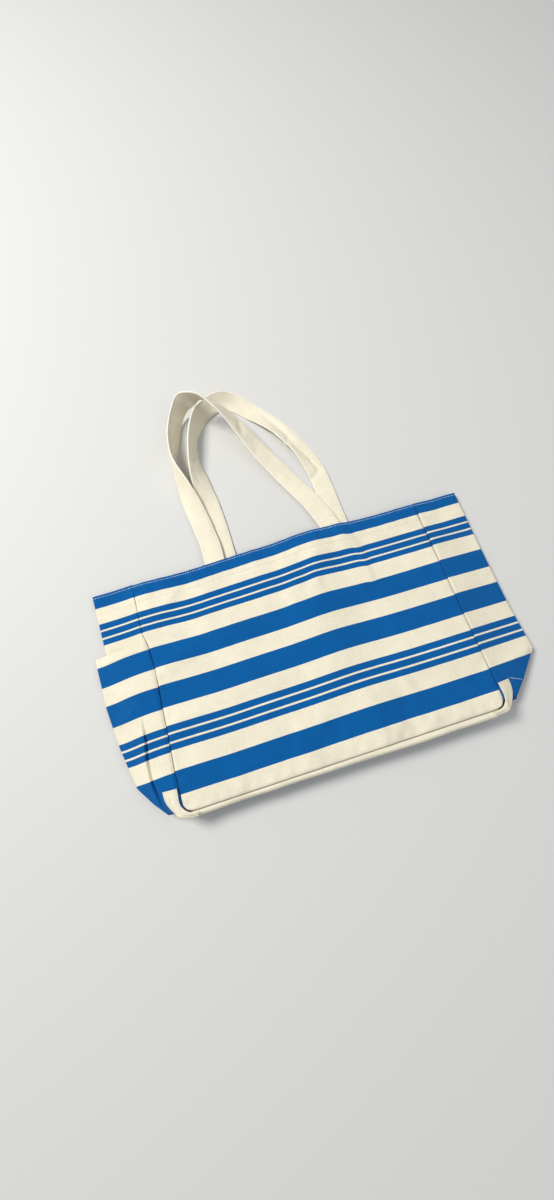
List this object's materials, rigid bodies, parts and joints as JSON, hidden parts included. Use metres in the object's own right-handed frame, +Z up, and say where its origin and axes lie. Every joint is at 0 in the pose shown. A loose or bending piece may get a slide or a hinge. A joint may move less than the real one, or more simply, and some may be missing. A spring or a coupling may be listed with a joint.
{
  "type": "beach tote bag",
  "caption": "Striped canvas beach tote lying flat, with folded side panels, an outer side pocket, a tucked base and long strap handles that swing.",
  "frame": {"origin": "on the back panel's outer face, which the bag lies on, below the middle of the front panel", "axes": "+X to the right along the mouth, +Y out of the mouth, +Z up from the back panel to the front panel"},
  "size_m": [0.62, 0.6358, 0.0625],
  "materials": {
    "striped_canvas": "natural cotton canvas woven with azure blue stripes",
    "blue_facing": "blue canvas turned in at the mouth",
    "natural_strap": "folded natural cotton canvas, stitched along both edges",
    "natural_tab": "natural cotton canvas",
    "binding_tape": "natural cotton tape"
  },
  "bodies": {
    "back": {"back_panel": "striped_canvas", "left_gusset": "striped_canvas", "right_gusset": "striped_canvas", "base_panel": "striped_canvas", "side_pocket": "striped_canvas", "back_hem_facing": "blue_facing", "left_hem_facing": "blue_facing", "right_hem_facing": "blue_facing", "back_handle_ends": "natural_strap", "front_left_corner_tab": "natural_tab", "front_right_corner_tab": "natural_tab", "back_left_corner_tab": "natural_tab", "back_right_corner_tab": "natural_tab", "back_left_seam_binding": "binding_tape", "back_right_seam_binding": "binding_tape", "back_base_binding": "binding_tape"},
    "front": {"front_panel": "striped_canvas", "front_hem_facing": "blue_facing", "front_handle_ends": "natural_strap", "front_left_seam_binding": "binding_tape", "front_right_seam_binding": "binding_tape", "front_base_binding": "binding_tape"},
    "front_handle": {"front_handle": "natural_strap"},
    "back_handle": {"back_handle": "natural_strap"}
  },
  "joints": [
    {"name": "mouth_opening", "type": "hinge", "parent": "back", "child": "front", "pos_m": [0, -0.165, 0.0314], "axis": [1, 0, 0], "range_deg": [0, 12]},
    {"name": "front_handle_swing", "type": "hinge", "parent": "front", "child": "front_handle", "pos_m": [-0.0035, 0.1655, 0.0124], "axis": [1, 0, 0], "range_deg": [0, 165]},
    {"name": "back_handle_swing", "type": "hinge", "parent": "back", "child": "back_handle", "pos_m": [0.014, 0.1655, 0.0006], "axis": [1, 0, 0], "range_deg": [-165, 0]}
  ]
}
